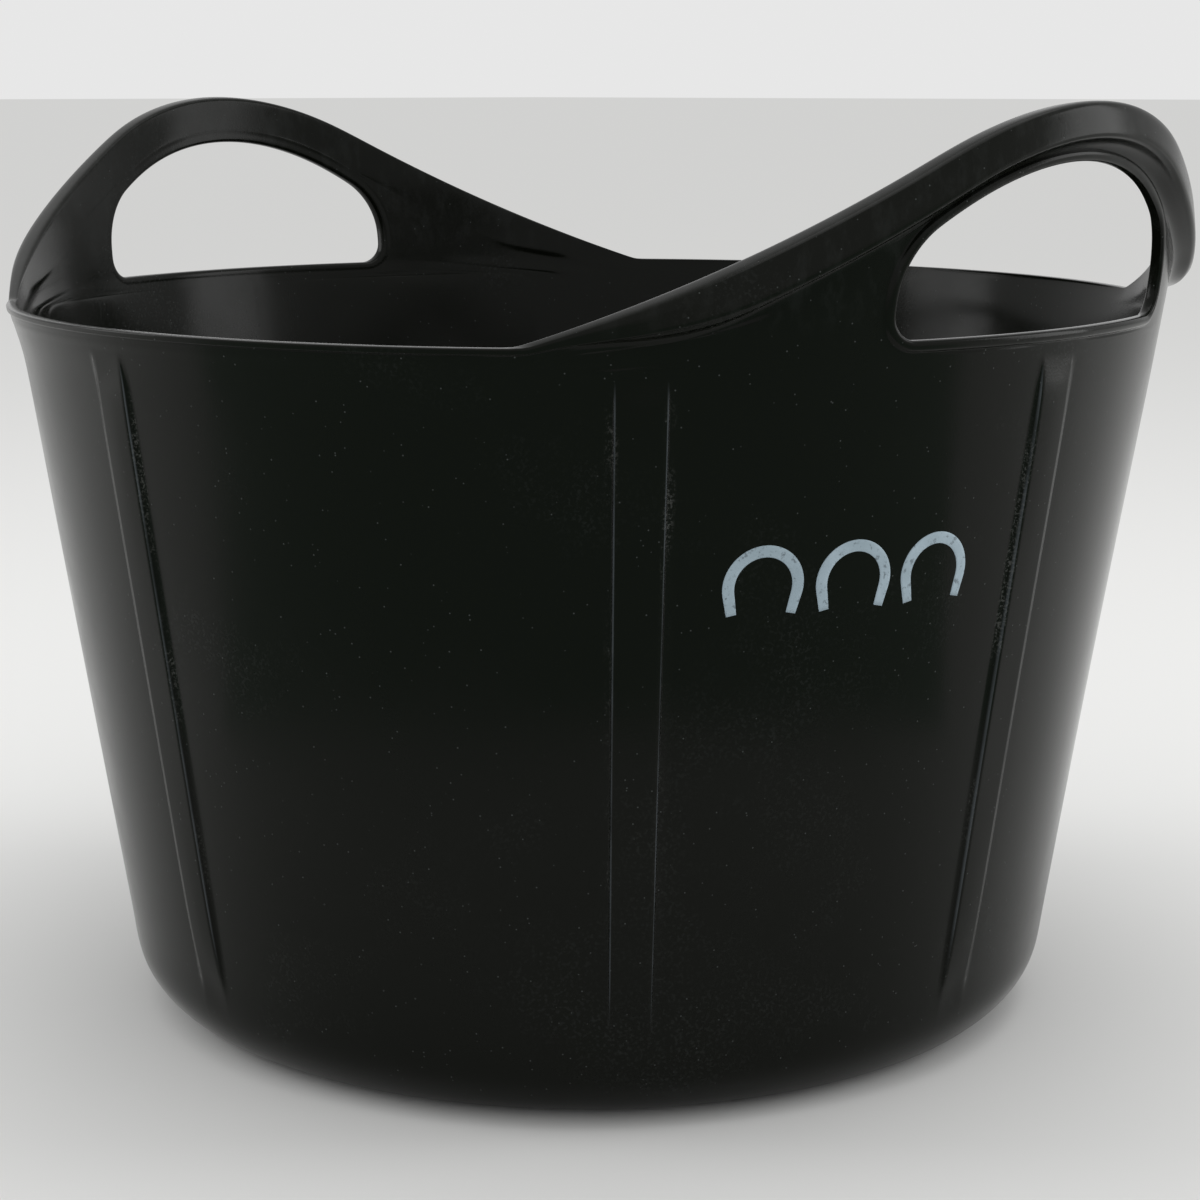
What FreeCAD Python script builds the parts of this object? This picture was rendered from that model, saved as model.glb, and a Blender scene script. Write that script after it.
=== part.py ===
import FreeCAD, Part

import math
import os

import Sketcher
from FreeCAD import Placement, Rotation, Vector

# Flexible feed bucket: a tapered round tub with two raised, holed handles on its X axis.
# The frame stands on the underside of the base, +Z up, with the tub's axis on Z.

doc = FreeCAD.newDocument("FeedBucket")
sheet = doc.addObject("Spreadsheet::Sheet", "Sizes")

# Driving dimensions in millimetres and degrees: alias, number, what it is.
driving_sizes = [
    ("rim_height", 247, "height of the low rim above the floor it stands on"),
    ("base_radius", 160, "where the wall's outer line meets the floor"),
    ("wall_slope", 0.1518, "outward lean of the wall, radius per height"),
    ("wall_thick", 3.2, "thickness of the wall, measured level"),
    ("floor_thick", 4, "thickness of the floor"),
    ("corner_radius", 26, "outer radius between floor and wall"),
    ("floor_radius", 137, "radius of the flat floor inside the rounded corner"),
    ("lip_flare", 2.5, "extra radius that the flared lip adds at the rim"),
    ("lip_height", 14, "height of the flared lip"),
    ("flare_radius", 52, "radius of the lip's hollow curve"),
    ("handle_height", 67.6, "height of a handle's crown above the rim"),
    ("handle_half", 155.6, "half the width of a handle at the rim"),
    ("handle_slope", 28.5, "slope of a handle's straight shoulders in degrees"),
    ("hole_half", 68.5, "half the width of a hand hole"),
    ("hole_height", 50, "height of a hand hole above the rim level"),
    ("hole_spring", 11, "height where the hole's arch starts"),
    ("hole_shoulder", 26, "radius of the arch's shoulders"),
    ("hole_corner", 8, "radius of the hole's bottom corners"),
    ("bead_width", 5, "width of the bead round a hand hole"),
    ("bead_raise", 1.2, "height of that bead"),
    ("grip_radius", 174.6, "radius of the grip's outer face seen from above"),
    ("grip_shift", 43.4, "how far that radius is centred towards the handle"),
    ("grip_drop", 11, "height of the turned-down grip edge"),
    ("grip_thick", 3, "thickness of the turned-over grip"),
    ("grip_half", 138, "half the width that the grip edge runs along a handle"),
    ("band_angle", 4.6, "width of a raised band as an angle about the axis"),
    ("band_raise", 1.6, "height of a raised band above the wall"),
    ("band_bottom", 34, "height of a band's lower end"),
    ("mark_raise", 0.2, "thickness of the printed mark"),
    ("mark_height", 176, "height of the mark's centre"),
    ("mark_pitch", 29, "spacing of the printed horseshoes"),
    ("shoe_outer", 12.5, "outer radius of a printed horseshoe"),
    ("shoe_inner", 8.5, "inner radius of a printed horseshoe"),
    ("shoe_gap", 35, "half the open angle of a printed horseshoe"),
]
for row, (alias, number, note) in enumerate(driving_sizes, start=1):
    sheet.set(f"A{row}", note)
    sheet.set(f"B{row}", str(number))
    sheet.setAlias(f"B{row}", alias)
doc.recompute()

# Azimuths about the axis, in degrees from the +X handle. A wall panel fills each field
# from the middle of one band to the middle of the next.
band_azimuths = [0, 41.7, 94.2, 138.3, 180, 221.7, 265.8, 318.3]
mark_azimuth = -21.4
handle_sides = [("right", 0), ("left", 180)]

# Room that cutting outlines leave round what they trim.
clearance = 12


def value_of(expression):
    """Number that an expression on the sheet gives."""
    result = sheet.evalExpression(expression)
    return float(getattr(result, "Value", result))


def wall_radius(height):
    """Expression for the wall's outer radius at a height."""
    return f"(Sizes.base_radius + Sizes.wall_slope * ({height}))"


rim_radius = "(" + wall_radius("Sizes.rim_height") + " + Sizes.lip_flare)"
lip_bottom = "(Sizes.rim_height - Sizes.lip_height)"
crown_height = "(Sizes.rim_height + Sizes.handle_height)"


def arc_between(start, end, radius, bend):
    """Arc of under half a turn; bend is 1 for a centre left of the way, -1 for right."""
    chord = end - start
    side = Vector(-chord.y, chord.x, 0).normalize()
    rise = math.sqrt(radius ** 2 - (chord.Length / 2) ** 2)
    centre = (start + end) / 2 + side * rise * bend
    first, last = (start, end) if bend > 0 else (end, start)
    first_angle = math.atan2(first.y - centre.y, first.x - centre.x)
    last_angle = math.atan2(last.y - centre.y, last.x - centre.x)
    return Part.ArcOfCircle(Part.Circle(centre, Vector(0, 0, 1), radius), first_angle, last_angle)


def add_loop(sketch, corners):
    """Closed outline in a sketch, with every corner and radius bound to the sheet.

    A corner is (across, up), or (across, up, radius, bend) where an arc leads on to the next one.
    """
    points = [Vector(value_of(corner[0]), value_of(corner[1]), 0) for corner in corners]
    first = sketch.GeometryCount
    ends = []
    for index, corner in enumerate(corners):
        start = points[index]
        end = points[(index + 1) % len(points)]
        if len(corner) == 2:
            sketch.addGeometry(Part.LineSegment(start, end), False)
            ends.append((1, 2))
            continue
        radius, bend = corner[2], corner[3]
        arc = sketch.addGeometry(arc_between(start, end, value_of(radius), bend), False)
        ends.append((1, 2) if bend > 0 else (2, 1))
        bind(sketch, Sketcher.Constraint("Radius", arc, value_of(radius)), radius)
    for index, corner in enumerate(corners):
        edge = first + index
        following = first + (index + 1) % len(corners)
        next_start = ends[(index + 1) % len(corners)][0]
        sketch.addConstraint(
            Sketcher.Constraint("Coincident", edge, ends[index][1], following, next_start))
        pin(sketch, "DistanceX", edge, ends[index][0], corner[0], -2)
        pin(sketch, "DistanceY", edge, ends[index][0], corner[1], -1)


def bind(sketch, constraint, expression):
    index = sketch.addConstraint(constraint)
    sketch.setExpression(f"Constraints[{index}]", expression)


def pin(sketch, kind, edge, end, expression, axis):
    """Hold one coordinate of a corner, on the axis itself where it is zero."""
    number = value_of(expression)
    if abs(number) < 1e-9:
        sketch.addConstraint(Sketcher.Constraint("PointOnObject", edge, end, axis))
        return
    bind(sketch, Sketcher.Constraint(kind, -1, 1, edge, end, number), expression)


def new_body(label):
    body = doc.addObject("PartDesign::Body", label)
    body.Label = label
    return body


def new_sketch(body, name, plane_role):
    sketch = body.newObject("Sketcher::SketchObject", name)
    plane = next(item for item in body.Origin.OriginFeatures if item.Role == plane_role)
    sketch.AttachmentSupport = (plane, [""])
    sketch.MapMode = "FlatFace"
    return sketch


def revolve(body, corners, angle="360"):
    """Turn a radius and height profile about Z, evenly to both sides of the XZ plane."""
    sketch = new_sketch(body, body.Label + "_profile", "XZ_Plane")
    add_loop(sketch, corners)
    turned = body.newObject("PartDesign::Revolution", body.Label + "_turned")
    turned.Profile = sketch
    turned.ReferenceAxis = (sketch, ["V_Axis"])
    turned.Midplane = True
    turned.setExpression("Angle", angle)
    doc.recompute()
    return turned


def cut_along_x(body, name, loops):
    """Cut everything inside the loops, drawn on YZ, away towards +X."""
    sketch = new_sketch(body, name + "_outline", "YZ_Plane")
    for corners in loops:
        add_loop(sketch, corners)
    before = body.Shape.Volume
    pocket = body.newObject("PartDesign::Pocket", name)
    pocket.Profile = sketch
    pocket.Type = "ThroughAll"
    pocket.Reversed = True
    doc.recompute()
    if pocket.Shape.Volume >= before - 1e-3:
        raise RuntimeError(name + " cuts nothing")
    return pocket


def fillet_outermost(body, name, height, radius):
    """Round the level arc that is farthest from the axis at a height."""
    base = body.Tip
    arcs = []
    for index, edge in enumerate(base.Shape.Edges, start=1):
        box = edge.BoundBox
        level = abs(box.ZMin - height) < 1e-6 and abs(box.ZMax - height) < 1e-6
        if level and isinstance(edge.Curve, Part.Circle):
            arcs.append((edge.Curve.Radius, f"Edge{index}"))
    fillet = body.newObject("PartDesign::Fillet", name)
    fillet.Base = (base, [max(arcs)[1]])
    fillet.setExpression("Radius", radius)
    doc.recompute()


def frame_loop(half_width, bottom, top):
    """Plain rectangle round an outline, so that what lies between them is cut away."""
    return [
        (f"-({half_width})", bottom),
        (half_width, bottom),
        (half_width, top),
        (f"-({half_width})", top),
    ]


def ridge_line(inset, half_width):
    """Handle ridge on YZ, right to left: straight shoulders tangent to a round crown."""
    slope = "(Sizes.handle_slope * 1 deg)"
    crown_radius = (
        f"((Sizes.handle_half * sin({slope}) - Sizes.handle_height * cos({slope}))"
        f" / (1 - cos({slope})) - ({inset}))")
    tangent_across = f"({crown_radius} * sin({slope}))"
    tangent_up = f"({crown_height} - ({inset}) - {crown_radius} * (1 - cos({slope})))"
    shoulder_up = f"({tangent_up} - ({half_width} - {tangent_across}) * tan({slope}))"
    return [
        (half_width, shoulder_up),
        (tangent_across, tangent_up, crown_radius, 1),
        (f"-{tangent_across}", tangent_up),
        (f"-({half_width})", shoulder_up),
    ]


def handle_loop(inset, bottom, half_width="Sizes.handle_half"):
    """Everything under the ridge line, down to a level bottom."""
    sides = [(f"-({half_width})", bottom), (half_width, bottom)]
    return sides + ridge_line(inset, half_width)


def ridge_band(depth, half_width):
    """Strip of even depth that follows the ridge line."""
    right, crown_right, crown_left, left = ridge_line(depth, half_width)
    lower = [left, (*crown_left, crown_right[2], -1), crown_right[:2], right]
    return ridge_line("0", half_width) + lower


def hole_loop(offset):
    """Hand hole outline on YZ: flat sill, round corners and a three-centred arch."""
    half = f"(Sizes.hole_half + {offset})"
    sill = f"(Sizes.rim_height - {offset})"
    corner = f"(Sizes.hole_corner + {offset})"
    shoulder = f"(Sizes.hole_shoulder + {offset})"
    rise = "(Sizes.hole_height - Sizes.hole_spring)"
    across = "(Sizes.hole_half - Sizes.hole_shoulder)"
    crown = (
        f"((pow({across}; 2) + pow({rise}; 2) - pow(Sizes.hole_shoulder; 2))"
        f" / (2 * ({rise} - Sizes.hole_shoulder)))")
    spring_up = "(Sizes.rim_height + Sizes.hole_spring)"
    reach = f"({crown} - Sizes.hole_shoulder)"
    tangent_across = f"({across} + {shoulder} * {across} / {reach})"
    tangent_up = f"({spring_up} + {shoulder} * ({crown} - {rise}) / {reach})"
    corner_in = "(Sizes.hole_half - Sizes.hole_corner)"
    corner_up = "(Sizes.rim_height + Sizes.hole_corner)"
    return [
        (f"-{corner_in}", sill),
        (corner_in, sill, corner, 1),
        (half, corner_up),
        (half, spring_up, shoulder, 1),
        (tangent_across, tangent_up, f"({crown} + {offset})", 1),
        (f"-{tangent_across}", tangent_up, shoulder, 1),
        (f"-{half}", spring_up),
        (f"-{half}", corner_up, corner, 1),
    ]


def wall_strip(low, high, inner, outer):
    """Section of a layer that lies between two level offsets of the wall's outer line."""
    return [
        (f"({wall_radius(low)} + {inner})", low),
        (f"({wall_radius(low)} + {outer})", low),
        (f"({wall_radius(high)} + {outer})", high),
        (f"({wall_radius(high)} + {inner})", high),
    ]


def make_floor():
    body = new_body("floor_disc")
    revolve(body, [
        ("0", "0"),
        ("Sizes.floor_radius", "0"),
        ("Sizes.floor_radius", "Sizes.floor_thick"),
        ("0", "Sizes.floor_thick"),
    ])


def make_wall_panel(number, azimuth, angle):
    """Field of the wall between two bands, with its part of the rounded base corner."""
    body = new_body(f"wall_panel_{number}")
    revolve(body, [
        ("Sizes.floor_radius", "0"),
        ("Sizes.base_radius", "0"),
        (wall_radius(lip_bottom), lip_bottom),
        (f"({wall_radius(lip_bottom)} - Sizes.wall_thick)", lip_bottom),
        (f"({wall_radius('Sizes.floor_thick')} - Sizes.wall_thick)", "Sizes.floor_thick"),
        ("Sizes.floor_radius", "Sizes.floor_thick"),
    ], str(angle))
    fillet_outermost(body, f"outer_corner_{number}", 0, "Sizes.corner_radius")
    fillet_outermost(body, f"inner_corner_{number}", value_of("Sizes.floor_thick"),
                     "Sizes.corner_radius - Sizes.wall_thick")
    body.Placement = Placement(Vector(), Rotation(Vector(0, 0, 1), azimuth))


def make_rim(side, azimuth):
    """Low flared lip between the two handles."""
    body = new_body("rim_" + side)
    outer = wall_radius(lip_bottom)
    revolve(body, [
        (f"({outer} - Sizes.wall_thick)", lip_bottom),
        (outer, lip_bottom, "Sizes.flare_radius", -1),
        (rim_radius, "Sizes.rim_height"),
        (f"({rim_radius} - Sizes.wall_thick)", "Sizes.rim_height", "Sizes.flare_radius", 1),
    ])
    sketch = new_sketch(body, "rim_trim_outline_" + side, "XY_Plane")
    far = f"({rim_radius} + {clearance})"
    add_loop(sketch, frame_loop(far, f"-{far}", "Sizes.handle_half"))
    trim = body.newObject("PartDesign::Pocket", "rim_trim_" + side)
    trim.Profile = sketch
    trim.Type = "ThroughAll"
    trim.Reversed = True
    body.Placement = Placement(Vector(), Rotation(Vector(0, 0, 1), azimuth))
    doc.recompute()


def make_handle(side, azimuth):
    body = new_body("handle_" + side)
    top = f"({crown_height} + {clearance})"
    below = f"({lip_bottom} - {clearance})"
    revolve(body, wall_strip(lip_bottom, top, "-Sizes.wall_thick", "0"), "130")
    wide = f"({rim_radius} + {clearance})"
    frame = frame_loop(wide, f"({below} - {clearance})", f"({top} + {clearance})")
    cut_along_x(body, "handle_outline_" + side, [frame, handle_loop("0", below)])
    cut_along_x(body, "hand_hole_" + side, [hole_loop("0")])
    body.Placement = Placement(Vector(), Rotation(Vector(0, 0, 1), azimuth))


def make_hole_bead(side, azimuth):
    body = new_body("hole_bead_" + side)
    top = f"({crown_height} + {clearance})"
    below = f"({lip_bottom} - {clearance})"
    revolve(body, wall_strip(lip_bottom, top, "0", "Sizes.bead_raise"), "90")
    frame = frame_loop(rim_radius, below, f"({top} + {clearance})")
    cut_along_x(body, "bead_outside_" + side, [frame, hole_loop("Sizes.bead_width")])
    cut_along_x(body, "bead_inside_" + side, [hole_loop("0")])
    body.Placement = Placement(Vector(), Rotation(Vector(0, 0, 1), azimuth))


def crescent(name, radius):
    """Space between the handle's outer face and an upright round face centred off the axis."""
    tall = f"(Sizes.handle_height + {clearance})"
    outside = doc.addObject("Part::Cylinder", name + "_outside")
    outside.setExpression("Radius", radius)
    outside.setExpression("Height", tall)
    outside.setExpression("Placement.Base.x", "Sizes.grip_shift")
    outside.setExpression("Placement.Base.z", "Sizes.rim_height")
    face = doc.addObject("Part::Cone", name + "_face")
    face.setExpression("Radius1", wall_radius("Sizes.rim_height"))
    face.setExpression("Radius2", wall_radius(f"Sizes.rim_height + {tall}"))
    face.setExpression("Height", tall)
    face.setExpression("Placement.Base.z", "Sizes.rim_height")
    space = doc.addObject("Part::Cut", name)
    space.Base = outside
    space.Tool = face
    return space


def outline_block(name, loops):
    """Outlines on YZ padded along +X past the handle."""
    body = new_body(name)
    sketch = new_sketch(body, name + "_sketch", "YZ_Plane")
    for corners in loops:
        add_loop(sketch, corners)
    pad = body.newObject("PartDesign::Pad", name + "_pad")
    pad.Profile = sketch
    pad.setExpression("Length", f"{rim_radius} + Sizes.grip_shift")
    doc.recompute()
    return body


def make_grip(side, azimuth):
    """Turned-over edge along a handle's ridge: a top web and a hanging outer skirt."""
    half = "Sizes.grip_half"
    block = outline_block("grip_block_" + side, [ridge_band("Sizes.grip_drop", half)])
    solid = doc.addObject("Part::MultiCommon", "grip_solid_" + side)
    solid.Shapes = [crescent("grip_space_" + side, "Sizes.grip_radius"), block]
    under = handle_loop("Sizes.grip_thick", "Sizes.rim_height", half)
    hollow_block = outline_block("hollow_block_" + side, [under])
    hollow = doc.addObject("Part::MultiCommon", "grip_hollow_" + side)
    inner_radius = "Sizes.grip_radius - Sizes.grip_thick"
    hollow.Shapes = [crescent("hollow_space_" + side, inner_radius), hollow_block]
    grip = doc.addObject("Part::Cut", "grip_" + side)
    grip.Label = "grip_edge_" + side
    grip.Base = solid
    grip.Tool = hollow
    grip.Placement = Placement(Vector(), Rotation(Vector(0, 0, 1), azimuth))
    doc.recompute()


def make_band(number, azimuth):
    body = new_body(f"wall_band_{number}")
    strip = wall_strip("Sizes.band_bottom", lip_bottom, "0", "Sizes.band_raise")
    revolve(body, strip, "Sizes.band_angle")
    body.Placement = Placement(Vector(), Rotation(Vector(0, 0, 1), azimuth))


def horseshoe_loop(across):
    """Plain horseshoe, open at the bottom, as two outer and two inner arcs."""
    gap = "(Sizes.shoe_gap * 1 deg)"
    corners = []
    for radius, bend, side in (("Sizes.shoe_outer", 1, 1), ("Sizes.shoe_inner", -1, -1)):
        foot_across = f"{radius} * sin({gap}) * {side}"
        foot_up = f"(Sizes.mark_height - {radius} * cos({gap}))"
        corners.append((f"({across} + {foot_across})", foot_up, radius, bend))
        corners.append((f"({across})", f"(Sizes.mark_height + {radius})", radius, bend))
        corners.append((f"({across} - {foot_across})", foot_up))
    return corners


def make_mark():
    body = new_body("printed_mark")
    tall = f"(Sizes.shoe_outer + {clearance})"
    low = f"(Sizes.mark_height - {tall})"
    high = f"(Sizes.mark_height + {tall})"
    revolve(body, wall_strip(low, high, "0", "Sizes.mark_raise"), "40")
    frame = frame_loop("Sizes.base_radius", f"({low} - {clearance})", f"({high} + {clearance})")
    shoes = [horseshoe_loop(f"{place} * Sizes.mark_pitch") for place in (-1, 0, 1)]
    cut_along_x(body, "mark_outline", [frame, *shoes])
    body.Placement = Placement(Vector(), Rotation(Vector(0, 0, 1), mark_azimuth))


def check_and_export(labels):
    doc.recompute()
    failed = [item.Name for item in doc.Objects if {"Invalid", "Error"} & set(item.State)]
    if failed:
        raise RuntimeError("failed objects: " + ", ".join(failed))
    os.makedirs("parts", exist_ok=True)
    for label in labels:
        shape = doc.getObjectsByLabel(label)[0].Shape
        if shape.isNull() or not shape.isValid() or not shape.Solids:
            raise RuntimeError("bad shape: " + label)
        shape.exportStep(f"parts/{label}.step")
        print(f"{label}: {len(shape.Solids)} solid(s), {shape.Volume / 1000:.2f} cm3")


make_floor()
for side, azimuth in (("back", 0), ("front", 180)):
    make_rim(side, azimuth)
for side, azimuth in handle_sides:
    make_handle(side, azimuth)
    make_hole_bead(side, azimuth)
    make_grip(side, azimuth)
next_azimuths = band_azimuths[1:] + [band_azimuths[0] + 360]
for number, (azimuth, following) in enumerate(zip(band_azimuths, next_azimuths), start=1):
    make_band(number, azimuth)
    make_wall_panel(number, (azimuth + following) / 2, following - azimuth)
make_mark()

part_labels = ["floor_disc", "rim_back", "rim_front", "printed_mark"]
for side, _ in handle_sides:
    part_labels += ["handle_" + side, "hole_bead_" + side, "grip_edge_" + side]
for number in range(1, len(band_azimuths) + 1):
    part_labels += [f"wall_band_{number}", f"wall_panel_{number}"]
check_and_export(part_labels)
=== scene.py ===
import math

import bmesh
import bpy
from mathutils import Matrix, Vector
from mathutils.bvhtree import BVHTree


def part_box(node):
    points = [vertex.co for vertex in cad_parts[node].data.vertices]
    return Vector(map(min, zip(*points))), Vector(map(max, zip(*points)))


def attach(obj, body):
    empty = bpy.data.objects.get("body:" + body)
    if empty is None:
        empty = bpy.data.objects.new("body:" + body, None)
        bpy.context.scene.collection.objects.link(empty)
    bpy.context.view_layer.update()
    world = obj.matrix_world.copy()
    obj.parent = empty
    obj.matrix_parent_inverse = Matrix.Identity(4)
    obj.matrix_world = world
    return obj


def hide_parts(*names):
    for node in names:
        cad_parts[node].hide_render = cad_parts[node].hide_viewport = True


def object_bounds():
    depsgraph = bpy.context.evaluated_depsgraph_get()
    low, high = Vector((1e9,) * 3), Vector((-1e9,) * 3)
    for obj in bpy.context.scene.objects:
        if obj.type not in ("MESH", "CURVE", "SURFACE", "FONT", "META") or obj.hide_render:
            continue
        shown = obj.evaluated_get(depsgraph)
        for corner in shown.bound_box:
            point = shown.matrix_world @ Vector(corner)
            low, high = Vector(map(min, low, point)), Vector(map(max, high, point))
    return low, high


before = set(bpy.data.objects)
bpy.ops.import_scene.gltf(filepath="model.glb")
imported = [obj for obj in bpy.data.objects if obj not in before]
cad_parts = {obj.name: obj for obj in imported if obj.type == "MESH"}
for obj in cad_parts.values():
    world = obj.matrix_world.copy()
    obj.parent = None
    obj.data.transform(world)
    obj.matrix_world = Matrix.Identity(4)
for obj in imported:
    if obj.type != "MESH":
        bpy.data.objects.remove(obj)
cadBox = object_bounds()
print("frame loaded,", len(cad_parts), "nodes")

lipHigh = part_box("rim_back")[1]

# Metres and degrees. "proud" is always measured outwards from the wall's outer line.
tub = {
    "footRadius": 0.160,        # where the wall's outer line meets the floor
    "wallSlope": 0.1518,        # radius gained per height
    "wallThick": 0.0032,
    "floorThick": 0.004,
    "cornerRadius": 0.026,
    "rimHeight": lipHigh[2],
    "panelFoot": 0.2405,        # height where the handle panels and lips start
    "flareFoot": 0.228,         # height where the lip starts to flare
    "flareDepth": 0.0026,
    "recessRadius": 0.118,      # shallow recess under the base
    "recessDepth": 0.0015,
    "baseRing": 0.055,          # radius of the innermost row, under the base and on the floor
    "floorRing": 0.060,
    "edgeRun": 0.004,           # a flat part ends this far before its edge
    "cornerAngles": (-74, -52, -30, -12),     # rows of the rounded corner, outside and inside
    "innerAngles": (-14, -38, -64),
    "outerRows": (0.095, 0.160),              # plain rows of the wall, outside and inside
    "innerRows": (0.225, 0.030),
    "settleRounds": 4,          # rounds that bring the smooth surface back to these sizes ...
    "settleMost": 0.0006,       # ... and the furthest that a point of the cage is moved for it
}

bands = {
    "azimuths": (0, 41.7, 90),  # mid handle, corner and mid lip; mirrored to the other three quarters
    "sideShift": 4.2,           # the two bands on the low sides then move towards -X by this angle
    "topHalf": 2.2,             # half width of the flat top, degrees
    "footHalf": 2.36,           # half width at the foot of its steps
    "raise": 0.0017,
    "low": 0.030,
    "high": 0.2395,
    "lowRun": 0.014,            # length over which the lower end rises
    "highRun": 0.016,
    "crease": 0.9,              # sharpness of the edges of the steps
}

handle = {
    "half": 0.1556,             # half width at the rim
    "height": 0.0676,
    "slope": math.radians(28.5),
    "lean": 0.108,              # the handles stand more upright than the wall ...
    "leanRun": 0.030,           # ... and turn to that over this height
    "belly": 0.0013,            # the wall stands out this much where a handle grows from it
    "bellyFoot": 0.100,
    "bendIn": 0.040,            # the handle at -X is bent in a little more, per height
    "outerFade": 0.122,         # across this far from the middle the grip starts to stand less proud ...
    "fadeEnd": 0.1556,          # ... until it is gone
    "evenTo": 40,               # up to this azimuth the wall is all handle, then it turns into the lip
    "rings": (0.2, 0.4, 0.6, 0.8),    # rows of the panel between the hand hole and the ridge
}

hole = {
    "half": 0.0685,
    "height": 0.0502,
    "spring": 0.011,
    "shoulder": 0.026,
    "corner": 0.008,
    "beadWidth": 0.0036,
    "beadRaise": 0.0010,
    "beadStart": 0.0008,        # the flat of the bead starts this far from the hole ...
    "beadEnd": 0.0007,          # ... and ends this far before the bead does
    "beyond": 0.001,            # first row outside the bead
    "rounding": 0.0009,         # the edge of the hole itself stands back by this
    "edgeCrease": 0.2,
    "beadCrease": 0.3,
    "archSteps": 5,
    "shoulderSteps": 7,
    "cornerSteps": 10,
    "sillShares": (0.84, 0.56, 0.235, 0.137, 0.106, 0),
}

# Profiles run from the outside over the top to the inside, as (proud, depth below the ridge) in mm.
ridge = {
    # an angle on the crown in degrees, or 100 plus a share of the straight shoulder down to the notch
    "stations": [
        0, 6, 12, 18, 23.5, 28.5,
        100.12, 100.26, 100.40, 100.53, 100.66, 100.78, 100.88, 100.96, 101,
    ],
    "grip": [
        (0.1, 15.0), (0.6, 13.6), (1.7, 12.4), (3.1, 11.6), (4.7, 11.1), (6.1, 10.7), (6.9, 10.0),
        (7.0, 9.2), (6.8, 7.6), (6.1, 4.6), (5.2, 1.6), (4.6, 0.35), (3.2, 0.0),
        (-2.0, 0.0), (-3.0, 0.8), (-3.2, 3.0), (-3.2, 13.0),
    ],
    "lip": [
        (1.75, 4.5), (1.8, 3.7), (1.87, 3.0), (1.92, 2.5), (1.98, 2.2), (2.1, 2.05), (2.4, 1.95),
        (2.7, 1.85), (2.75, 1.5), (2.75, 0.9), (2.7, 0.4), (2.4, 0.08), (1.4, 0.0),
        (-0.2, 0.0), (-0.7, 0.15), (-0.8, 0.8), (-1.45, 4.5),
    ],
    "inside": 13,               # from this point on a profile belongs to the inside
    "fold": 6,                  # lower edge of the turned-over side
    "sharp": {6: 0.6, 11: 0.5, 13: 0.3, 14: 0.3},
    "outerEase": 0.9,           # how soon the grip stands proud and how soon it reaches its full depth
    "depthEase": 0.85,
    "kink": 0.35,               # sharpness of the bend where the ridge meets the low rim
}


def bandColumns(centre):
    # foot and top of one step, the middle, top and foot of the other step
    top, foot = bands["topHalf"], bands["footHalf"]
    return [centre - foot, centre - top, centre, centre + top, centre + foot]


# Azimuth of every wall column in one quarter, from the middle of a handle to the middle of a lip.
handleBand, cornerBand, lipBand = bands["azimuths"]
notchAzimuth = math.degrees(math.asin(handle["half"] / lipHigh[1]))
panelColumns = bandColumns(handleBand)[2:] + [5, 10.5, 16.5, 22.5, 28.5, 34.5]
panelColumns += bandColumns(cornerBand) + [notchAzimuth]
lipColumns = [56, 62, 68, 74, 80, 85] + bandColumns(lipBand)[:3]


def wallLine(height):
    above = max(height - tub["panelFoot"], 0)
    run = handle["leanRun"]
    turned = min(above, run) ** 2 / (2 * run) + max(above - run, 0)
    return tub["footRadius"] + tub["wallSlope"] * height - (tub["wallSlope"] - handle["lean"]) * turned


def onWall(azimuth, height, proud):
    radius = wallLine(height) + proud
    return Vector((radius * math.cos(azimuth), radius * math.sin(azimuth), height))


def smooth(value):
    value = min(max(value, 0.0), 1.0)
    return value * value * (3 - 2 * value)


def underHandle(azimuth):
    # 1 under a handle, 0 from the notch on
    even = handle["evenTo"]
    return 1 - smooth((math.degrees(azimuth) - even) / (notchAzimuth - even))


def flare(azimuth, height):
    # the low rim turns out at its top, and the wall bellies a little under a handle
    rim = tub["rimHeight"]
    rise = max(height - tub["flareFoot"], 0) / (rim - tub["flareFoot"])
    belly = handle["belly"] * smooth((height - handle["bellyFoot"]) / (rim - handle["bellyFoot"]))
    share = underHandle(azimuth)
    return (1 - share) * tub["flareDepth"] * rise ** 1.5 + share * belly


def fromBand(azimuth):
    # degrees to the middle of the nearest band
    return min(abs(math.degrees(azimuth) - centre) for centre in bands["azimuths"])


def bandRaise(azimuth, height):
    across = (bands["footHalf"] - fromBand(azimuth)) / (bands["footHalf"] - bands["topHalf"])
    along = min((height - bands["low"]) / bands["lowRun"], (bands["high"] - height) / bands["highRun"])
    return bands["raise"] * min(max(min(across, along), 0), 1)


def ridgeShape():
    slope, half, height = handle["slope"], handle["half"], handle["height"]
    radius = (half * math.sin(slope) - height * math.cos(slope)) / (1 - math.cos(slope))
    shoulder = (half - radius * math.sin(slope)) / math.cos(slope)
    return radius, shoulder


def ridgePoint(station, inset):
    radius, shoulder = ridgeShape()
    slope = handle["slope"]
    crown = tub["rimHeight"] + handle["height"]
    angle = math.radians(station) if station < 100 else slope
    across = (radius - inset) * math.sin(angle)
    up = crown - radius + (radius - inset) * math.cos(angle)
    if station >= 100:
        run = (station - 100) * shoulder
        across += run * math.cos(slope)
        up -= run * math.sin(slope)
        if station == 101:
            across += inset * (math.sin(slope) - math.tan(slope / 2))
            up += inset * (math.cos(slope) - 1)
    return across, up


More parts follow.
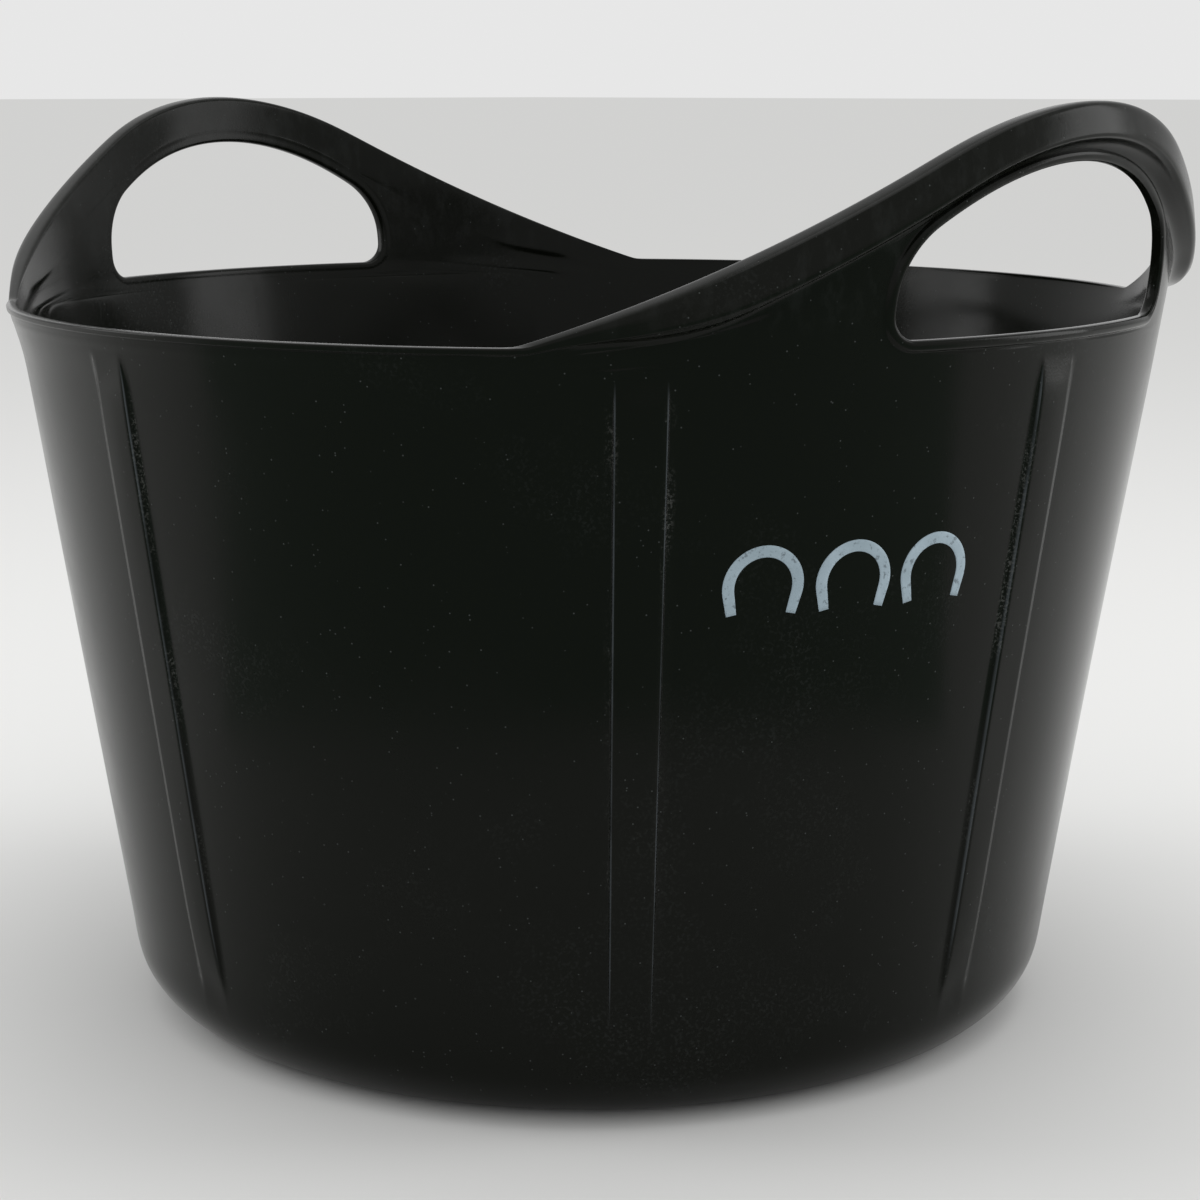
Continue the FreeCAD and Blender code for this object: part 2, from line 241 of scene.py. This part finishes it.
def sectionAt(station):
    # section of the ridge in metres: full grip at the crown, plain lip at the notch
    across = ridgePoint(station, 0)[0]
    fade = (handle["fadeEnd"] - across) / (handle["fadeEnd"] - handle["outerFade"])
    azimuth = math.asin(across / wallLine(tub["rimHeight"]))
    within = underHandle(azimuth)
    base = within * handle["belly"]
    outer = smooth(fade * ridge["outerEase"])
    deep = smooth(fade) ** ridge["depthEase"]
    points = []
    for number, (lip, grip) in enumerate(zip(ridge["lip"], ridge["grip"])):
        share = outer if number < ridge["inside"] else within
        proud = 0.001 * (lip[0] + (grip[0] - lip[0]) * share)
        depth = 0.001 * (lip[1] + (grip[1] - lip[1]) * deep)
        points.append((proud + base, depth))
    return points


def holePath(offset):
    # outline of the hand hole from the top of its arch to the middle of its sill, as (across, up)
    across = hole["half"] - hole["shoulder"]
    rise = hole["height"] - hole["spring"]
    crown = (across ** 2 + rise ** 2 - hole["shoulder"] ** 2) / (2 * (rise - hole["shoulder"]))
    base = tub["rimHeight"]
    middle = base + hole["height"] - crown
    join = math.asin(across / (crown - hole["shoulder"]))
    path = []
    for step in range(hole["archSteps"] + 1):
        angle = join * step / hole["archSteps"]
        path.append(((crown + offset) * math.sin(angle), middle + (crown + offset) * math.cos(angle)))
    for step in range(1, hole["shoulderSteps"] + 1):
        angle = join + (math.pi / 2 - join) * step / hole["shoulderSteps"]
        reach = hole["shoulder"] + offset
        path.append((across + reach * math.sin(angle), base + hole["spring"] + reach * math.cos(angle)))
    inner = hole["half"] - hole["corner"]
    reach = hole["corner"] + offset
    for step in range(hole["cornerSteps"] + 1):
        angle = math.pi / 2 * step / hole["cornerSteps"]
        path.append((inner + reach * math.cos(angle), base + hole["corner"] - reach * math.sin(angle)))
    path += [(inner * share, base - offset) for share in hole["sillShares"]]
    return path


def fromOutline(across, up, proud):
    radius = wallLine(up) + proud
    azimuth = math.asin(min(across / radius, 1))
    return onWall(azimuth, up, proud)


class Cage:
    def __init__(self):
        self.points = []
        self.faces = []
        self.creases = []

    def add(self, point):
        self.points.append(point)
        return len(self.points) - 1

    def ring(self, points):
        return [self.add(point) for point in points]

    def strip(self, first, second):
        for a, b, c, d in zip(first, first[1:], second[1:], second):
            self.faces.append((a, b, c, d))

    def sharpen(self, path, weight):
        for a, b in zip(path, path[1:]):
            self.creases.append((a, b, weight))


def arcRows(centre, radius, angles):
    turns = [math.radians(angle) for angle in angles]
    return [(centre[0] + radius * math.cos(a), centre[1] + radius * math.sin(a)) for a in turns]


def wallFaces(cage, columns):
    # outer face from the middle of the base to the foot of the lip
    stretch = math.sqrt(1 + tub["wallSlope"] ** 2)
    radius, thick = tub["cornerRadius"], tub["wallThick"]
    centre = (wallLine(radius) - radius * stretch, radius)
    recess, depth, edgeRun = tub["recessRadius"], tub["recessDepth"], tub["edgeRun"]
    rows = [(tub["baseRing"], depth), (recess - edgeRun, depth), (recess, depth * 0.8)]
    rows += [(recess + 0.003, 0.0001), (centre[0] - edgeRun, 0)]
    rows += arcRows(centre, radius, tub["cornerAngles"])
    low, high, run = bands["low"], bands["high"], bands["highRun"]
    heights = [low, low + bands["lowRun"], *tub["outerRows"]]
    heights += [high - run, high - run / 2, high, tub["panelFoot"]]
    outer = [cage.ring(roundRow(columns, r, z)) for r, z in rows]
    for z in heights:
        outer.append(cage.ring([onWall(a, z, flare(a, z) + bandRaise(a, z)) for a in columns]))
    middle = cage.add(Vector((0, 0, depth)))
    for a, b in zip(outer[0], outer[0][1:]):
        cage.faces.append((middle, b, a))
    for lower, upper in zip(outer, outer[1:]):
        cage.strip(lower, upper)
    for number, azimuth in enumerate(columns):
        if any(abs(fromBand(azimuth) - half) < 0.01 for half in (bands["topHalf"], bands["footHalf"])):
            cage.sharpen([ring[number] for ring in outer[len(rows):-1]], bands["crease"])

    # inner face from the foot of the lip down to the middle of the floor
    radius -= thick
    floor = tub["floorThick"]
    centre = (wallLine(floor + radius) - thick - radius * stretch, floor + radius)
    inner = []
    for z in (tub["panelFoot"], *tub["innerRows"]):
        inner.append(cage.ring([onWall(a, z, flare(a, z) - thick) for a in columns]))
    rows = arcRows(centre, radius, tub["innerAngles"])
    rows += [(centre[0] - edgeRun, floor), (tub["floorRing"], floor)]
    inner += [cage.ring(roundRow(columns, r, z)) for r, z in rows]
    for upper, lower in zip(inner, inner[1:]):
        cage.strip(upper, lower)
    middle = cage.add(Vector((0, 0, floor)))
    for a, b in zip(inner[-1], inner[-1][1:]):
        cage.faces.append((middle, a, b))
    return outer[-1], inner[0]


def roundRow(columns, radius, height):
    return [Vector((radius * math.cos(a), radius * math.sin(a), height)) for a in columns]


def ridgeAndLip(cage, columns):
    # one profile per station of the ridge, then one per column of the low rim
    sections = []
    for station in ridge["stations"]:
        outline = [(ridgePoint(station, depth), proud) for proud, depth in sectionAt(station)]
        sections.append(cage.ring([fromOutline(across, up, proud) for (across, up), proud in outline]))
    rim = tub["rimHeight"]
    for azimuth in columns:
        points = [onWall(azimuth, rim - 0.001 * depth, 0.001 * proud) for proud, depth in ridge["lip"]]
        sections.append(cage.ring(points))
    for left, right in zip(sections, sections[1:]):
        cage.strip(right, left)
    for point, weight in ridge["sharp"].items():
        cage.sharpen([section[point] for section in sections], weight)
    cage.sharpen(sections[len(ridge["stations"]) - 1][ridge["fold"]:], ridge["kink"])
    return sections


def panelBorder(columns, side):
    # where the spokes of a handle panel end, along the ridge and back along the wall: (across, up, proud)
    border = []
    for station in ridge["stations"]:
        proud, depth = sectionAt(station)[side]
        border.append((*ridgePoint(station, depth), proud))
    height = tub["panelFoot"]
    inward = tub["wallThick"] if side else 0
    for azimuth in columns[::-1]:
        proud = flare(azimuth, height) - inward
        border.append(((wallLine(height) + proud) * math.sin(azimuth), height, proud))
    return border


def handlePanel(cage, columns, side, edge):
    # rings from the hand hole out to the ridge and down to the wall; side is 0 outside and -1 inside
    inside = side == -1
    base = handle["belly"] - (tub["wallThick"] if inside else 0)
    raised = 0 if inside else hole["beadRaise"]
    rounding = hole["rounding"] if inside else -hole["rounding"]
    width, beyond = hole["beadWidth"], hole["beadWidth"] + hole["beyond"]
    bead = [(0, raised + rounding), (hole["beadStart"], raised), (width - hole["beadEnd"], raised)]
    bead += [(width, 0), (beyond, 0)]
    rings = []
    for offset, extra in bead:
        rings.append(cage.ring([fromOutline(across, up, base + extra) for across, up in holePath(offset)]))
    cage.sharpen(rings[0], hole["edgeCrease"])
    if not inside:
        cage.sharpen(rings[3], hole["beadCrease"])
    spokes = list(zip(holePath(beyond), panelBorder(columns, side)))
    for share in handle["rings"]:
        ring = []
        for (a, b), (c, d, proud) in spokes:
            height = base + (proud - base) * share ** 2
            ring.append(cage.add(fromOutline(a + (c - a) * share, b + (d - b) * share, height)))
        rings.append(ring)
    rings.append(edge)
    for inner, outer in zip(rings, rings[1:]):
        if inside:
            cage.strip(outer, inner)
        else:
            cage.strip(inner, outer)
    return rings[0]


def buildQuarter():
    cage = Cage()
    columns = [math.radians(a) for a in panelColumns + lipColumns]
    notch = len(panelColumns) - 1
    last = len(ridge["stations"]) - 1
    outerWall, innerWall = wallFaces(cage, columns)
    sections = ridgeAndLip(cage, columns[notch + 1:])
    cage.strip(outerWall[notch:], [section[0] for section in sections[last:]])
    cage.strip([section[-1] for section in sections[last:]], innerWall[notch:])
    holeEdges = []
    for side, wall in ((0, outerWall), (-1, innerWall)):
        edge = [section[side] for section in sections[:last + 1]] + wall[notch::-1]
        holeEdges.append(handlePanel(cage, columns[:notch + 1], side, edge))
    cage.strip(holeEdges[1], holeEdges[0])
    return cage


def wholeTub(cage):
    # the quarter and its three mirror images, welded along the two middle planes
    bm = bmesh.new()
    crease = bm.edges.layers.float.new("crease_edge")
    for flipX, flipY in ((1, 1), (-1, 1), (1, -1), (-1, -1)):
        verts = [bm.verts.new((p.x * flipX, p.y * flipY, p.z)) for p in cage.points]
        for face in cage.faces:
            loop = [verts[i] for i in face]
            bm.faces.new(loop if flipX * flipY > 0 else loop[::-1])
        for a, b, weight in cage.creases:
            edge = bm.edges.get((verts[a], verts[b]))
            edge[crease] = max(edge[crease], weight)
    bmesh.ops.remove_doubles(bm, verts=bm.verts, dist=0.00002)

    # then what isn't mirrored: one handle bends in a little more and the bands on the low sides move over
    for vert in bm.verts:
        if vert.co.x < 0:
            vert.co.x += handle["bendIn"] * max(vert.co.z - tub["rimHeight"], 0)
        azimuth = math.degrees(math.atan2(vert.co.y, vert.co.x))
        share = smooth(1 - abs(abs(azimuth) - 90) / (90 - notchAzimuth))
        turn = math.radians(math.copysign(bands["sideShift"] * share, azimuth))
        vert.co.rotate(Matrix.Rotation(turn, 3, "Z"))
    return bm


def settle(bm, rounds, most):
    # moves the cage along its normals, by no more than "most", until the smooth surface passes through
    # the points that the cage was given; creased points stay where they are
    bm.verts.ensure_lookup_table()
    bm.normal_update()
    crease = bm.edges.layers.float["crease_edge"]
    target = [v.co.copy() for v in bm.verts]
    out = [v.normal.copy() for v in bm.verts]
    lift = [0.0] * len(target)
    around = {}
    for vert in bm.verts:
        if all(edge[crease] == 0 for edge in vert.link_edges):
            near = [edge.other_vert(vert).index for edge in vert.link_edges]
            around[vert.index] = near, [[v.index for v in face.verts] for face in vert.link_faces]
    for _ in range(rounds):
        now = [v.co.copy() for v in bm.verts]
        for i, (near, corners) in around.items():
            edges = sum((now[k] for k in near), Vector())
            middles = sum((centreOf([now[k] for k in face]) for face in corners), Vector())
            short = target[i] - limitPoint(now[i], edges, middles, len(near))
            lift[i] = min(max(lift[i] + short.dot(out[i]), -most), most)
            bm.verts[i].co = target[i] + out[i] * lift[i]
            bm.verts[i].co.z = max(bm.verts[i].co.z, 0)    # the base stays on the floor


def centreOf(points):
    return sum(points, Vector()) / len(points)


def limitPoint(own, edges, middles, n):
    # where a point with n neighbours ends up on the smooth surface, from the sums of its neighbours
    # and of the centres of its faces
    vertexPoint = (middles / n + (own * n + edges) / n + own * (n - 3)) / n
    edgeSum = (own * n + edges + middles * 2) / 4
    return (vertexPoint * n * n + edgeSum * 4 + middles) / (n * (n + 5))


def smoothSurface(piece, levels):
    stack = piece.modifiers.new("smooth surface", "SUBSURF")
    stack.levels = levels
    stack.render_levels = levels


def meshPiece(name, bm, material):
    mesh = bpy.data.meshes.new(name)
    bm.to_mesh(mesh)
    bm.free()
    piece = bpy.data.objects.new(name, mesh)
    bpy.context.scene.collection.objects.link(piece)
    for polygon in mesh.polygons:
        polygon.use_smooth = True
    mesh.materials.append(material)
    return piece


class Nodes:
    # short names for the few kinds of node the materials are made of
    def __init__(self, material):
        material.use_nodes = True
        self.tree = material.node_tree
        self.shader = self.tree.nodes["Principled BSDF"]
        self.place = self.tree.nodes.new("ShaderNodeTexCoord").outputs["Object"]

    def feed(self, socket, value):
        if isinstance(value, bpy.types.NodeSocket):
            self.tree.links.new(value, socket)
        else:
            socket.default_value = value

    def math(self, kind, *values):
        node = self.tree.nodes.new("ShaderNodeMath")
        node.operation = kind
        for socket, value in zip(node.inputs, values):
            self.feed(socket, value)
        return node.outputs[0]

    def chain(self, kind, first, *others):
        for other in others:
            first = self.math(kind, first, other)
        return first

    def noise(self, scale, detail, rough=0.5, stretch=(1, 1, 1)):
        mapping = self.tree.nodes.new("ShaderNodeMapping")
        mapping.inputs["Scale"].default_value = stretch
        self.feed(mapping.inputs["Vector"], self.place)
        node = self.tree.nodes.new("ShaderNodeTexNoise")
        self.feed(node.inputs["Vector"], mapping.outputs["Vector"])
        node.inputs["Scale"].default_value = scale
        node.inputs["Detail"].default_value = detail
        node.inputs["Roughness"].default_value = rough
        return node.outputs["Fac"]

    def cells(self, scale):
        node = self.tree.nodes.new("ShaderNodeTexVoronoi")
        self.feed(node.inputs["Vector"], self.place)
        node.inputs["Scale"].default_value = scale
        grey = self.tree.nodes.new("ShaderNodeSeparateColor")
        self.feed(grey.inputs["Color"], node.outputs["Color"])
        return node.outputs["Distance"], grey.outputs["Red"]

    def ramp(self, value, low, high, start=0.0, end=1.0):
        node = self.tree.nodes.new("ShaderNodeMapRange")
        node.interpolation_type = "SMOOTHSTEP"
        for name, number in (("From Min", low), ("From Max", high), ("To Min", start), ("To Max", end)):
            node.inputs[name].default_value = number
        self.feed(node.inputs["Value"], value)
        return node.outputs["Result"]

    def mix(self, factor, first, second):
        node = self.tree.nodes.new("ShaderNodeMix")
        node.data_type = "RGBA"
        self.feed(node.inputs["Factor"], factor)
        self.feed(node.inputs[6], first)     # the sockets A, B and Result for colours
        self.feed(node.inputs[7], second)
        return node.outputs[2]

    def bump(self, height, distance, under=None):
        node = self.tree.nodes.new("ShaderNodeBump")
        node.inputs["Distance"].default_value = distance
        self.feed(node.inputs["Height"], height)
        if under:
            self.feed(node.inputs["Normal"], under)
        return node.outputs["Normal"]


plastic = {
    "black": (0.0033, 0.0040, 0.0026, 1),
    "dust": (0.060, 0.066, 0.064, 1),
    "chalk": (0.15, 0.155, 0.145, 1),
    # painted glint: lighter colour put on the upper edges of the band steps
    "paintedGlint": (0.060, 0.068, 0.074, 1),
    "specular": 0.11,
    "roughness": (0.13, 0.25),       # clean and smudged
    "waviness": 0.0009,              # depth of the slow waves a soft moulded wall has
    "grain": 0.00002,
    "speckCover": 0.8,               # how strongly each layer covers the black
    "filmCover": 0.15,
    "settledCover": 0.07,
    # how strongly the painted glint covers the black
    "paintedGlintCover": 0.8,
    "chalkCover": 0.4,
}


def bandDistance(n, azimuth, half):
    # degrees to the nearest line that runs this far from the middle of a band
    distances = []
    for centre in (handleBand, cornerBand, lipBand + bands["sideShift"], 180 - cornerBand, 180 - handleBand):
        off = n.math("ABSOLUTE", n.math("SUBTRACT", azimuth, float(centre)))
        distances.append(n.math("ABSOLUTE", n.math("SUBTRACT", off, half)))
    return n.chain("MINIMUM", *distances)


def blackPlastic():
    material = bpy.data.materials.new("black polyethylene")
    n = Nodes(material)
    split = n.tree.nodes.new("ShaderNodeSeparateXYZ")
    n.feed(split.inputs["Vector"], n.place)
    x, y, z = split.outputs
    azimuth = n.math("DEGREES", n.math("ARCTAN2", n.math("ABSOLUTE", y), x))
    radius = n.math("SQRT", n.math("ADD", n.math("MULTIPLY", x, x), n.math("MULTIPLY", y, y)))
    outside = n.ramp(n.math("SUBTRACT", radius, n.math("MULTIPLY", z, tub["wallSlope"])), 0.1585, 0.1592)

    # dust: single specks, a fine film in patches, and some that has settled high on the grips
    distance, pick = n.cells(620)
    dots = n.ramp(distance, 0.20, 0.08)
    specks = n.chain("MULTIPLY", dots, n.ramp(pick, 0.90, 0.93), plastic["speckCover"])
    patches = n.ramp(n.noise(11, 5, 0.6), 0.52, 0.72)
    film = n.chain("MULTIPLY", patches, n.ramp(n.noise(900, 2), 0.50, 0.68), plastic["filmCover"])
    streaky = n.ramp(n.noise(160, 4, 0.65, (1, 1, 0.5)), 0.46, 0.66)
    settled = n.chain("MULTIPLY", n.ramp(z, 0.246, 0.262), streaky, plastic["settledCover"])
    dust = n.chain("MAXIMUM", specks, film, settled)

    # chalky scuffs caught in the foot of the band steps
    foot = n.ramp(bandDistance(n, azimuth, bands["footHalf"] + 0.1), 0.75, 0.05)
    stretches = n.ramp(n.noise(60, 4, 0.7, (1, 1, 0.3)), 0.45, 0.66)
    crumbs = n.ramp(n.noise(1100, 3, 0.7), 0.50, 0.62)
    length = n.math("MULTIPLY", n.ramp(z, 0.055, 0.11), n.ramp(z, 0.236, 0.215))
    chalk = n.chain("MULTIPLY", foot, stretches, crumbs, length, outside)

    # painted glint: the upper edges of the steps get a lighter grey-blue colour that stands in for the
    # bright specular line they catch
    edge = n.ramp(bandDistance(n, azimuth, bands["topHalf"]), 0.11, 0.03)
    uneven = n.ramp(n.noise(45, 4, 0.6, (1, 1, 0.4)), 0.30, 0.62, 0.25, 1.0)
    length = n.math("MULTIPLY", n.ramp(z, 0.034, 0.060), n.ramp(z, 0.2385, 0.228))
    paintedGlint = n.chain("MULTIPLY", edge, uneven, length, outside)

    colour = n.mix(dust, plastic["black"], plastic["dust"])
    # painted glint mixed over the upper edges of the band steps
    colour = n.mix(n.math("MULTIPLY", paintedGlint, plastic["paintedGlintCover"]), colour, plastic["paintedGlint"])
    colour = n.mix(n.math("MULTIPLY", chalk, plastic["chalkCover"]), colour, plastic["chalk"])
    n.feed(n.shader.inputs["Base Color"], colour)
    rough = n.ramp(n.noise(8, 6, 0.62), 0.35, 0.68, *plastic["roughness"])
    for mask in (dust, chalk):
        rough = n.math("ADD", rough, n.math("MULTIPLY", mask, 0.25))
    n.feed(n.shader.inputs["Roughness"], rough)
    n.feed(n.shader.inputs["Specular IOR Level"], plastic["specular"])
    waves = n.bump(n.noise(9, 1, 0.4, (1, 1, 0.6)), plastic["waviness"])
    n.feed(n.shader.inputs["Normal"], n.bump(n.noise(1400, 2), plastic["grain"], waves))
    return material


quarter = buildQuarter()
print("quarter cage:", len(quarter.points), "points,", len(quarter.faces), "faces")
bm = wholeTub(quarter)
settle(bm, tub["settleRounds"], tub["settleMost"])
tubShell = meshPiece("tub_shell", bm, blackPlastic())
smoothSurface(tubShell, 2)
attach(tubShell, "root")
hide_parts(*[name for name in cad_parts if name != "printed_mark"])
print("tub shell built")


# Three plain horseshoes, printed side by side on the wall below the handle at +X.
mark = {
    "azimuth": -21.4,
    "height": 0.176,
    "pitch": 0.029,
    "outer": 0.0125,
    "inner": 0.0089,
    "heel": 0.0064,            # straight run below the arc
    "lean": 12,                # each leg closes in by this angle
    "narrowing": 0.18,         # and the shoe gets narrower by this share over the height below
    "narrowRun": 0.012,
    "thick": 0.00022,
    "sunk": 0.00006,           # the back of the print lies this far under the wall's surface
    "arcSteps": 40,
}

ink = {
    "deep": (0.29, 0.37, 0.42, 1),
    "pale": (0.36, 0.45, 0.51, 1),
    "worn": (0.16, 0.20, 0.23, 1),
    "specular": 0.25,
    "roughness": (0.42, 0.58),
    "grain": 0.00003,
}


def printInk():
    material = bpy.data.materials.new("blue-grey ink")
    n = Nodes(material)
    worn = n.ramp(n.noise(420, 5, 0.7), 0.36, 0.44)
    tone = n.mix(n.ramp(n.noise(70, 3), 0.3, 0.7), ink["deep"], ink["pale"])
    n.feed(n.shader.inputs["Base Color"], n.mix(worn, ink["worn"], tone))
    n.feed(n.shader.inputs["Roughness"], n.ramp(n.noise(300, 3), 0.3, 0.7, *ink["roughness"]))
    n.feed(n.shader.inputs["Specular IOR Level"], ink["specular"])
    n.feed(n.shader.inputs["Normal"], n.bump(n.noise(900, 3), ink["grain"]))
    return material


def further(point, run):
    # straight on from a point of the line, or back where the run is negative
    across, up, travel = point
    return across + run * math.cos(travel), up + run * math.sin(travel), travel


def shoeLine():
    # middle line of one shoe from heel to heel, as (across, up, direction of travel)
    radius = (mark["outer"] + mark["inner"]) / 2
    lean = math.radians(mark["lean"])
    arc = []
    for step in range(mark["arcSteps"] + 1):
        angle = math.pi + lean - (math.pi + 2 * lean) * step / mark["arcSteps"]
        arc.append((radius * math.cos(angle), radius * math.sin(angle), angle - math.pi / 2))
    before = [further(arc[0], -mark["heel"] * share) for share in (1, 0.75, 0.5, 0.25)]
    after = [further(arc[-1], mark["heel"] * share) for share in (0.25, 0.5, 0.75, 1)]
    return before + arc + after


def ontoShell(tree, across, up, lift):
    height = mark["height"] + up
    azimuth = math.radians(mark["azimuth"]) + across / wallLine(height)
    start = onWall(azimuth, height, 0.02)
    hit, normal, _, _ = tree.ray_cast(start, Vector((-math.cos(azimuth), -math.sin(azimuth), 0)))
    return hit + normal * lift


def horseshoes(tree):
    bm = bmesh.new()
    half = (mark["outer"] - mark["inner"]) / 2
    deep, top = -mark["sunk"], mark["thick"]
    section = [(-1, deep), (-1, top * 0.6), (-0.93, top), (-0.5, top), (0, top), (0.5, top), (0.93, top),
               (1, top * 0.6), (1, deep), (0, deep)]
    for number in (-1, 0, 1):
        rings = []
        for across, up, angle in shoeLine():
            width = half * (1 - mark["narrowing"] * smooth(-up / mark["narrowRun"]))
            ring = []
            for side, lift in section:
                u = number * mark["pitch"] + across + side * width * math.sin(angle)
                v = up - side * width * math.cos(angle)
                ring.append(bm.verts.new(ontoShell(tree, u, v, lift)))
            rings.append(ring)
        for first, second in zip(rings, rings[1:]):
            for i in range(len(section)):
                bm.faces.new((first[i - 1], second[i - 1], second[i], first[i]))
        bm.faces.new(rings[0])
        bm.faces.new(rings[-1][::-1])
    bmesh.ops.recalc_face_normals(bm, faces=bm.faces)
    return bm


shellTree = BVHTree.FromObject(tubShell, bpy.context.evaluated_depsgraph_get())
printed = meshPiece("horseshoe_print", horseshoes(shellTree), printInk())
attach(printed, "root")
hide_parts("printed_mark")
print("print built")


view = {
    "azimuth": -46.1,
    "distance": 0.939,
    "height": 0.3186,
    "pitch": 10.93,
    "yaw": 0.264,
    "lens": 79.7,
}

softboxes = {
    "left softbox": {"power": 9, "size": (0.7, 1.4), "place": (-1.35, -1.05, 0.6), "aim": (0, 0, 0.15)},
    "right softbox": {"power": 9, "size": (0.7, 1.4), "place": (1.25, 1.35, 0.6), "aim": (0, 0, 0.15)},
    "top softbox": {"power": 6, "size": (1.4, 1.4), "place": (0.2, 0.2, 1.8), "aim": (0, 0, 0.1)},
}

paleFloor = {
    "colour": (0.8, 0.8, 0.79, 1),
    "roughness": 0.7,
    "half": 60,
}

sky = {
    "colour": (1, 1, 1, 1),
    "strength": 0.8,
}

# Lies in front of the tub and keeps the black wall from looking milky; only reflections show it.
darkCard = {
    "colour": (0.32, 0.42, 0.36, 1),
    "roughness": 0.9,
    "radii": (0.395, 1.8),
    "start": -70,              # from the camera's azimuth
    "sectors": 23,
    "sectorAngle": 6,
    "clear": 0.002,            # above the floor
}


def placeCamera():
    turn = math.radians(view["azimuth"])
    camera = bpy.data.objects.new("camera", bpy.data.cameras.new("camera"))
    camera.data.lens = view["lens"]
    camera.data.sensor_width = 36
    camera.location = (view["distance"] * math.cos(turn), view["distance"] * math.sin(turn), view["height"])
    camera.rotation_euler = (math.radians(90 - view["pitch"]), 0, turn + math.radians(90 - view["yaw"]))
    bpy.context.scene.collection.objects.link(camera)
    bpy.context.scene.camera = camera


def plainMaterial(name, colour, roughness):
    material = bpy.data.materials.new(name)
    material.use_nodes = True
    shader = material.node_tree.nodes["Principled BSDF"]
    shader.inputs["Base Color"].default_value = colour
    shader.inputs["Roughness"].default_value = roughness
    return material, shader


def layFloor():
    bm = bmesh.new()
    bmesh.ops.create_grid(bm, x_segments=1, y_segments=1, size=paleFloor["half"])
    material, shader = plainMaterial("pale floor", paleFloor["colour"], paleFloor["roughness"])
    shader.inputs["Specular IOR Level"].default_value = 0
    floor = meshPiece("floor", bm, material)
    floor.location.z = cadBox[0][2]


def layCard():
    bm = bmesh.new()
    start = view["azimuth"] + darkCard["start"]
    turns = [math.radians(start + darkCard["sectorAngle"] * step) for step in range(darkCard["sectors"] + 1)]
    rows = [roundRow(turns, radius, 0) for radius in darkCard["radii"]]
    inner, outer = [[bm.verts.new(point) for point in row] for row in rows]
    for a, b, c, d in zip(inner, outer, outer[1:], inner[1:]):
        bm.faces.new((a, b, c, d))
    material, _ = plainMaterial("dark card", darkCard["colour"], darkCard["roughness"])
    card = meshPiece("dark_card", bm, material)
    card.location.z = cadBox[0][2] + darkCard["clear"]
    card.visible_camera = False
    card.visible_diffuse = False
    card.visible_shadow = False


def hangSoftbox(name, box):
    lamp = bpy.data.lights.new(name, "AREA")
    lamp.energy = box["power"]
    lamp.shape = "RECTANGLE"
    lamp.size, lamp.size_y = box["size"]
    light = bpy.data.objects.new(name, lamp)
    light.location = box["place"]
    light.rotation_euler = (Vector(box["aim"]) - Vector(box["place"])).to_track_quat("-Z", "Y").to_euler()
    bpy.context.scene.collection.objects.link(light)


def lightStudio():
    world = bpy.data.worlds.new("studio")
    world.use_nodes = True
    background = world.node_tree.nodes["Background"]
    background.inputs["Color"].default_value = sky["colour"]
    background.inputs["Strength"].default_value = sky["strength"]
    bpy.context.scene.world = world
    bpy.context.scene.view_settings.view_transform = "Standard"
    for name, box in softboxes.items():
        hangSoftbox(name, box)


placeCamera()
layFloor()
lightStudio()
layCard()
print("stage set")
